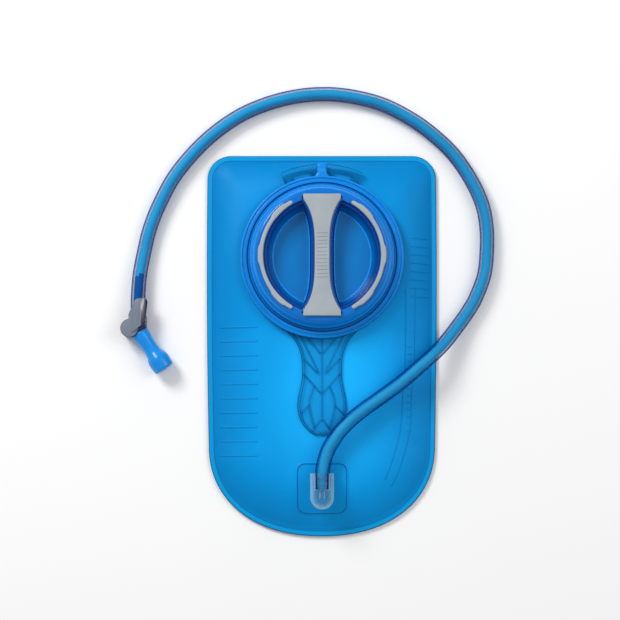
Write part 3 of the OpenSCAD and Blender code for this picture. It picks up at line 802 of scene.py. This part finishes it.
def make_cap(material):
    low, top, rim = CAP_LOW_Z / MM, CAP_TOP_Z / MM, CAP_R / MM
    cap = turned("cap_body", [
        (47.9, low, 0.3), (rim, low, 0.8), (rim, 20.7, 1.0), (51.7, 21.5, 0.7), (51.4, 25.6, 0.6),
        (50.3, 26.6, 0.7), (49.0, 31.2, 1.6), (46.8, top, 1.8), (WELL_TOP_R, top, 1.0),
        (37.0, 21.6, 1.2), (WELL_FLOOR_R, WELL_Z, 0.4), (0, WELL_Z, 0), (0, 19.0, 0),
        (34.6, 19.0, 0.8), (39.4, 31.0, 0.8), (47.9, 31.0, 0.3)], material, "cap", "cap_blue")
    set_attribute(cap, "tone", [cap_colour_and_painted_light(v.co) for v in cap.data.vertices])
    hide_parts("cap_shell")
    web_levels = [(-WEB_FLARE, WELL_Z - 0.4), (-1.45, WELL_Z + 0.2), (-0.9, WELL_Z + 1.0), (-0.35, 30.5),
                  (-0.1, 32.9), (0.2, 33.7), (0.6, top)]
    web = add_mesh("cap_web", *prism(bar_outline(WEB_MARGIN, WELL_TOP_R + 0.6), mm(web_levels)),
                   material, "cap", "cap_blue")
    tidy_normals(web)
    sharp_at(web, 40)
    # The web's sides get the well walls' painted shade.
    set_attribute(web, "tone", [0.33] * len(web.data.vertices))
    beads = []
    for side in (-1, 1):
        line = well_edge(side, 0.5)
        loop = [(x * MM, y * MM + PORT_Y, (WELL_Z + 0.05) * MM) for x, y in line + line[:2]]
        beads.append(bar_along(loop, 0.55 * MM, 8, ends=False))
    bead = add_mesh("well_beads_painted_highlight", *join_parts(beads), material, "cap", "cap_blue")
    tidy_normals(bead)
    # The beads round the well floors are painted as highlights.
    set_attribute(bead, "tone", [1.0] * len(bead.data.vertices))


def arc_edges(degrees):
    """Outer and inner radius of a grip arc: three low finger bumps, and round ends."""
    away = min(abs(degrees), abs(abs(degrees) - 45))
    bump = 1 / (1 + math.exp((away - 8.2) / 0.9))
    taper = math.sqrt(max(0, 1 - max(0, (abs(degrees) - 58.4) / 2.6) ** 2))
    middle_r, half = 43.0 + 0.4 * bump, (1.4 + 0.5 * bump) * taper
    return middle_r + half, middle_r - half


def make_grips(material):
    top = CAP_TOP_Z / MM
    high = GRIP_TOP_Z - 0.35
    bar = [prism(bar_outline(0, BAR_END), mm(soft_levels(top - 0.2, high, 0.7, 4, False)))]
    for i in range(13):
        t = (i - 6) * 2.6
        half = bar_half(t) - 1.9
        line = [(x * MM, t * MM + PORT_Y, (high - 0.12) * MM) for x in (-half, half)]
        bar.append(bar_along(line, 0.5 * MM, 10))
    piece = add_mesh("grip_bar_pad", *join_parts(bar), material, "cap", "grip_grey")
    tidy_normals(piece)
    sharp_at(piece, 45)
    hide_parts("grip_bar")
    for side, node in ((1, "grip_arc_right"), (-1, "grip_arc_left")):
        outer, inner = [], []
        for degrees in ARC_END * np.sin(np.radians(np.linspace(-90, 90, 181))):
            out_r, in_r = arc_edges(degrees)
            outer.append((out_r, math.radians(degrees)))
            inner.append((in_r, math.radians(degrees)))
        line = [(side * r * math.cos(a), r * math.sin(a)) for r, a in outer[:-1] + inner[:0:-1]]
        if side < 0:
            line.reverse()
        outline = [(x * MM, y * MM + PORT_Y) for x, y in line]
        levels = mm(soft_levels(top - 0.6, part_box(node)[1][2] / MM, 0.7, 4, False))
        arc = add_mesh(node + "_pad", *prism(outline, levels), material, "cap", "grip_grey")
        tidy_normals(arc)
        sharp_at(arc, 45)
        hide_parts(node)


def make_tether(material):
    low, high = (z / MM for z in (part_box("tether_ring")[0][2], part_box("tether_ring")[1][2]))
    out = RING_R / MM
    ring = turned("tether_ring_body", [
        (out - 4.8, low, 0.4), (out, low, 0.7), (out, high - 0.7, 0.6), (out - 0.8, high, 0.5),
        (out - 1.5, high, 0.3), (out - 1.9, high - 0.7, 0.3), (out - 2.5, high - 0.7, 0.3),
        (out - 2.9, high, 0.3), (out - 4.8, high, 0.5)], material, "tether", "tether_blue")
    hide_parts("tether_ring")
    mid = (low + high) / 2 * MM
    run = [(PORT_Y + (out - 0.6) * MM, mid + 0.3 * MM), (PORT_Y + (out + 2.5) * MM, mid - 0.2 * MM),
           (PORT_Y + (out + 6) * MM, 16.6 * MM), (PORT_Y + (out + 9) * MM, 15.4 * MM),
           (PORT_Y + (out + 10.4) * MM, 14.7 * MM)]
    path, _ = smooth_path([(0, y, z) for y, z in run], 0.8 * MM)
    points, faces = sweep(path, 1.0, 16)
    half_t = 0.8 * MM
    shaped = []
    for i in range(len(points)):
        centre = path[i // 16]
        half_w = (3.2 + 2.6 * math.exp(-(centre[1] - path[0][1]) / (1.4 * MM))) * MM
        a = 2 * math.pi * (i % 16) / 16
        x, h = math.cos(a), math.sin(a)
        flat = max(abs(x) ** 5 + abs(h) ** 5, 1e-9) ** -0.2
        shaped.append(centre + np.array([x * flat * half_w, 0, h * flat * half_t]))
    faces.append(tuple(range(15, -1, -1)))
    faces.append(tuple(range((len(path) - 1) * 16, len(path) * 16)))
    strap = add_mesh("tether_strap_body", shaped, faces, material, None, "tether_blue")
    tidy_normals(strap)
    sharp_at(strap, 50)
    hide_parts("tether_strap")
    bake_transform(strap)


# ---------------------------------------------------------------- clear filling port

PLATE_Z = 15.6
LOOP_TOP_Z = 16.7
HANDLE_TOP_Y = PORT_Y / MM - 52
HANDLE_RUN = HANDLE_TOP_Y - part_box("fill_port")[0][1] / MM


def handle_half(share):
    if share < 0.42:
        t = share / 0.42
        return 26 + (14.2 - 26) * (1 - (1 - t) ** 3)
    if share < 0.72:
        t = (share - 0.42) / 0.3
        return 14.2 + 3.3 * t * t * (3 - 2 * t)
    return 17.5 * math.sqrt(max(0, 1 - ((share - 0.72) / 0.28) ** 2))


def handle_outline(inset=0.0):
    foot = 0.72 + 0.28 * np.sin(np.linspace(0, 0.5 * math.pi, 28)[1:])
    shares = np.concatenate([np.linspace(0, 0.72, 60), foot])
    left = [(-max(handle_half(s) - inset, 0), HANDLE_TOP_Y - HANDLE_RUN * s + (inset if s > 0.99 else 0))
            for s in shares]
    return left + [(-x, y) for x, y in reversed(left[:-1])]


HANDLE_RIBS = [
    [(0, 6), (0, -55)],
    [(-15.6, 6), (-9.5, -6.5), (-2.6, -20.5)], [(15.6, 6), (9.5, -6.5), (2.6, -20.5)],
    [(-11.6, 5.5), (-1.2, -7)], [(11.6, 5.5), (1.2, -7)],
    [(-13, -11), (-3.5, -21)], [(13, -11), (3.5, -21)],
    [(-13, -22), (-1.2, -35)], [(13, -22), (1.2, -35)],
    [(-5.5, -31), (-8.2, -38), (-9.0, -46), (-5.6, -60)], [(5.5, -31), (8.2, -38), (9.0, -46), (5.6, -60)],
    [(-15, -50), (-9.0, -44)], [(15, -50), (9.0, -44)],
    [(-1, -54.5), (-6.5, -62.5)], [(1, -54.5), (6.5, -62.5)]]


def make_port(material):
    body = turned("port_body", [
        (43, 13.5, 0), (57, 13.5, 0), (57, 14.05, 0), (58.4, 14.05, 0.3), (58.4, 15.3, 0.4),
        (57.6, PLATE_Z, 0.3), (46.8, PLATE_Z, 0.5), (46, 16.4, 0.5), (46, 28.4, 0.5), (45.3, 29, 0.4),
        (43.7, 29, 0.4), (43, 28.4, 0.4)], material, "bag", "clear_moulding")
    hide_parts("fill_port", "port_neck")
    turns = np.linspace(0, 1.1 * 2 * math.pi, 110)
    thread = [(46 * math.cos(a) * MM, 46 * math.sin(a) * MM + PORT_Y, (19 + 6.5 * a / turns[-1]) * MM)
              for a in turns]
    bead = add_mesh("port_thread", *bar_along(thread, 1.0 * MM, 10), material, "bag", "clear_moulding")
    tidy_normals(bead)


def make_handle(material):
    plate = [(x * MM, y * MM) for x, y in handle_outline()]
    parts = [prism(plate, mm(soft_levels(13.9, 15.3, 0.45, 3)))]
    rim = [(x * MM, y * MM, 15.5 * MM) for x, y in handle_outline(1.3)]
    parts.append(bar_along(smooth_path(rim, 1.0 * MM)[0], 0.95 * MM, 12))
    for line in HANDLE_RIBS:
        rib, _ = smooth_path([(x * MM, y * MM, 15.35 * MM) for x, y in line], 1.2 * MM)
        parts.append(bar_along(rib, 0.62 * MM, 10))
    handle = add_mesh("port_handle", *join_parts(parts), material, "bag", "clear_moulding")
    tidy_normals(handle)
    sharp_at(handle, 50)


def make_hang_loops(material):
    loops = []
    for side in (-1, 1):
        out, band, low_r = 67.3, 63.6, 56.8
        top = math.asin(3.8 / out)
        outer = [(out, a) for a in np.linspace(math.radians(26), top, 20)]
        inner = [(band, a) for a in np.linspace(math.asin(7.6 / band), math.radians(20.5), 16)]
        line = [(low_r, math.radians(26))] + outer + [(low_r, math.asin(3.8 / low_r))]
        line += [(low_r, math.asin(7.6 / low_r))] + inner + [(low_r, math.radians(20.5))]
        flat = [(side * r * math.sin(a), r * math.cos(a)) for r, a in line]
        if side > 0:
            flat.reverse()
        radii = [1.0 if math.hypot(x, y) > band - 0.1 else 0 for x, y in flat]
        outline = [(x * MM, y * MM + PORT_Y) for x, y in rounded(flat, radii)]
        loops.append(prism(outline, mm(soft_levels(14.1, LOOP_TOP_Z, 0.6, 3))))
    frame_piece = add_mesh("hang_loops", *join_parts(loops), material, "bag", "clear_moulding")
    tidy_normals(frame_piece)
    sharp_at(frame_piece, 45)


# ---------------------------------------------------------------- drinking port, valve and bite valve

PATCH_HALF = 19 * MM
PATCH_Y = -103 * MM


def make_patch(material):
    corners = [(-PATCH_HALF, -PATCH_HALF), (PATCH_HALF, -PATCH_HALF), (PATCH_HALF, PATCH_HALF),
               (-PATCH_HALF, PATCH_HALF)]
    radii = [8 * MM, 8 * MM, 6.5 * MM, 6.5 * MM]
    line = np.array(rounded(corners, radii, 8))
    fine = []
    for a, b in zip(line, np.roll(line, -1, 0)):
        steps = max(1, int(np.linalg.norm(b - a) / (2.2 * MM)))
        fine += [a + (b - a) * i / steps for i in range(steps)]
    line = np.array(fine)
    marks = np.concatenate([np.linspace(0, 0.84, 12), np.linspace(0.88, 1, 8)])
    rise = [0.28 + 0.32 * math.exp(-((m - 0.925) / 0.022) ** 2) - 0.25 * max(0, (m - 0.97) / 0.03)
            for m in marks]
    xy = (line[:, None, :] * marks[None, :, None]).reshape(-1, 2) + np.array([0, PATCH_Y])
    count, rings = len(line), len(marks)
    top = np.column_stack([xy, film_height(xy) + np.tile(rise, count) * MM])
    low = np.column_stack([xy, film_height(xy) - 0.25 * MM])
    faces = ring_faces(count, rings) + ring_faces(count, rings, len(top), True)
    for i in range(count):
        a, b, last = i * rings, (i + 1) % count * rings, rings - 1
        faces.append((b + last, a + last, len(top) + a + last, len(top) + b + last))
    piece = add_mesh("exit_patch_sheet", np.vstack([top, low]), faces, material, "bag", "patch_blue")
    tidy_normals(piece)
    spots = np.array([v.co[:] for v in piece.data.vertices])
    # The patch takes the film's painted light and shade, dimmed to 0.82.
    set_attribute(piece, "painted_light", painted_light_of(spots[:, :2]) * 0.82)
    bead_line = line * 0.9225 + np.array([0, PATCH_Y])
    on_bead = distance_to_line(spots[:, :2], bead_line) < 0.3 * MM
    set_attribute(piece, "seam", np.full(len(spots), 0.93))
    set_attribute(piece, "on_seam", on_bead.astype(float))
    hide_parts("exit_patch")


BITE_ROOT = Vector((-0.1307, 0.0083, 0.008))
BITE_ANGLE = math.radians(-55)
BITE_AXIS = Vector((math.cos(BITE_ANGLE), math.sin(BITE_ANGLE), 0))
BITE_R = 7.9
BITE_L = 32.0
BITE_PROFILE = [(0.0, 0.74), (0.02, 0.80), (0.10, 0.79), (0.24, 0.72), (0.40, 0.68), (0.50, 0.69),
                (0.57, 0.74), (0.63, 0.84), (0.68, 0.93), (0.74, 0.985), (0.82, 0.99), (0.90, 0.965),
                (0.965, 0.93), (0.99, 0.89), (1.0, 0.80)]


def make_bite_valve(material):
    line, _ = smooth_path([(BITE_L * t * MM, BITE_R * r * MM, 0) for t, r in BITE_PROFILE], 0.6 * MM)
    profile = [(r, t) for t, r, _ in line]
    end, bore = BITE_L * MM, 3.5 * MM
    profile += [(3.2 * MM, end - 0.1 * MM), (1.2 * MM, end - 0.7 * MM), (0, end - 0.8 * MM),
                (0, end - 3 * MM), (3.2 * MM, end - 4.5 * MM), (bore, end - 9 * MM), (bore, 0)]
    points, faces = lathe(profile, 72, BITE_ROOT, BITE_AXIS)
    valve = add_mesh("bite_valve_body", points, faces, material, "mouthpiece", "bite_blue")
    tidy_normals(valve)
    sharp_at(valve, 50)
    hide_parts("bite_valve")


def finish_cad(node, material, bevel=0.3):
    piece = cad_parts[node]
    piece.data.materials.clear()
    piece.data.materials.append(material)
    weld = piece.modifiers.new("weld", "WELD")
    weld.merge_threshold = 1e-6
    edge = piece.modifiers.new("bevel", "BEVEL")
    edge.width = bevel * MM
    edge.segments = 3
    edge.limit_method = "ANGLE"
    edge.angle_limit = SOFT_EDGE_ANGLE
    edge.harden_normals = True


def remade(node, name, material, body, bevel):
    """A copy of a CAD node's mesh in world space, welded and with soft edges."""
    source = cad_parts[node]
    bm = bmesh.new()
    bm.from_mesh(source.data)
    bm.transform(source.matrix_world)
    bmesh.ops.remove_doubles(bm, verts=bm.verts, dist=1e-6)
    edges = [e for e in bm.edges if len(e.link_faces) == 2 and e.calc_face_angle(0) > SOFT_EDGE_ANGLE]
    bmesh.ops.bevel(bm, geom=edges, offset=bevel * MM, segments=3, profile=0.5, affect="EDGES",
                    clamp_overlap=True)
    bmesh.ops.recalc_face_normals(bm, faces=bm.faces)
    mesh = bpy.data.meshes.new(name)
    bm.to_mesh(mesh)
    bm.free()
    mesh.materials.clear()
    mesh.materials.append(material)
    mesh.polygons.foreach_set("use_smooth", [True] * len(mesh.polygons))
    mesh.polygons.foreach_set("material_index", [0] * len(mesh.polygons))
    piece = bpy.data.objects.new(name, mesh)
    bpy.context.collection.objects.link(piece)
    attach(piece, body)
    sharp_at(piece, 40)
    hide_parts(node)
    return piece


def lever_material():
    shader = Shader("lever_plastic", (0.42, 0.43, 0.46), 0.36, Specular_IOR_Level=0.4)
    # This ramp paints shade: the right side of the lever's arm goes dark, near black at its edge.
    shader.colour(shader.ramp(shader.attribute("shade"), [
        (0.0, (0.16, 0.19, 0.24)), (0.3, (0.46, 0.48, 0.51)), (0.6, (0.10, 0.10, 0.13)),
        (1.0, (0.010, 0.010, 0.035))]))
    return shader.speckle(70, 0.06).rough(150, 0.3, 0.45).bump(420, 0.00006, 0.45).material


def make_lever():
    """The lever is pale on its left and top, and dark down its right side: that dark side is painted
    shade.
    """
    lever = remade("shutoff_lever", "shutoff_lever_body", lever_material(), "lever", 0.5)
    shade = []
    for vertex in lever.data.vertices:
        x, y = vertex.co.x / MM, vertex.co.y / MM
        # The painted shade starts at a slanting line down the arm and darkens to its right.
        edge = -127.2 + 0.42 * (y - 31)
        shade.append(min(1, max(0, 0.5 + (x - edge) / 2.4)) if y > 13 and x > -134 else 0.0)
    set_attribute(lever, "shade", shade)
    return lever


# ---------------------------------------------------------------- embossing on the front film

STRIP_OUTER = [(66.5, 39), (66, 10), (65, -20), (63.5, -50), (61, -68), (55, -88), (49, -101)]
STRIP_INNER = [(60, 39), (59.6, 10), (58.6, -20), (57, -50), (54.6, -66), (49.4, -84), (44.6, -96)]
TICKS = [[(61.0 - 0.02 * i, -2 - 5 * i), (64.0 - 0.03 * i, -2 - 5 * i)] for i in range(13)]


def make_embossing(material):
    film_relief("gauge_strip", [STRIP_OUTER, STRIP_INNER], 1.5, 0.36, material)
    film_relief("gauge_ticks", TICKS, 1.1, 0.28, material)
    bars = [[(-72, 12 - 10.2 * i), (-46, 12 - 10.2 * i)] for i in range(10)]
    film_relief("grip_bars_left", bars, 2.4, 0.3, material)
    marks = [[(64, 76 - 6 * i), (76, 76 - 6 * i)] for i in range(8)]
    film_relief("level_marks_right", marks, 1.5, 0.28, material)


# ---------------------------------------------------------------- run

make_camera()
make_lights()

FILM = film_material("film_front_blue")
# The back sheet is a copy of the film darkened to 0.9: painted shade for the sheet underneath.
FILM_BACK = film_material("film_back_blue_shaded", 0.9)
CLEAR = glassy("clear_plastic", (0.0006, 0.085, 0.33), 0.14,
               [(0.0, 0.0), (0.15, 0.03), (0.35, 0.4), (0.6, 0.85), (1.0, 1.0)],
               Specular_IOR_Level=0.35)
FITTING = glassy("clear_fitting", (0.30, 0.55, 0.68), 0.1,
                 [(0.0, 0.07), (0.2, 0.16), (0.5, 0.6), (0.8, 0.95), (1.0, 1.0)])
CAP_BLUE = cap_material()
GRIP_GREY = plain_material("grip_rubber", (0.33, 0.38, 0.41), 0.55, 500)
RING_BLUE = plain_material("tether_rubber", (0.0003, 0.225, 0.680), 0.34, 420,
                           Specular_IOR_Level=0.15, Coat_Weight=0.2, Coat_Roughness=0.2)
BITE_BLUE = bite_material()
NAVY = plain_material("housing_plastic", (0.004, 0.012, 0.085), 0.25, 380, Coat_Weight=0.4)
PALE = plain_material("pale_plastic", (0.72, 0.75, 0.78), 0.4, 420)
BLACK = plain_material("black_rubber", (0.015, 0.015, 0.017), 0.6, 420)

tube, TUBE_PATH, TUBE_LENGTH = make_tube(*tube_materials())
make_front_film(FILM)
make_back_film(FILM_BACK)
make_embossing(FILM)
make_port(CLEAR)
make_handle(CLEAR)
make_hang_loops(CLEAR)
make_tether(RING_BLUE)
make_cap(CAP_BLUE)
make_grips(GRIP_GREY)
make_patch(FILM)
make_bite_valve(BITE_BLUE)
for node, material, bevel in (
        ("cap_gasket", PALE, 0.2), ("exit_port", FITTING, 0.5), ("exit_barb", FITTING, 0.2),
        ("valve_housing", NAVY, 0.4), ("shutoff_barrel", PALE, 0.2), ("barrel_o_rings", BLACK, 0.1),
        ("bite_stem", PALE, 0.2)):
    finish_cad(node, material, bevel)
lever = make_lever()


def make_floor():
    size = 6.0
    shader = Shader("floor", (0.93, 0.93, 0.93), 0.9, Specular_IOR_Level=0.1)
    shader.speckle(3, 0.01)
    floor = add_mesh("floor", [(-size, -size, 0), (size, -size, 0), (size, size, 0), (-size, size, 0)],
                     [(0, 1, 2, 3)], shader.material, None, None)
    floor.location.z = -0.0003


make_floor()
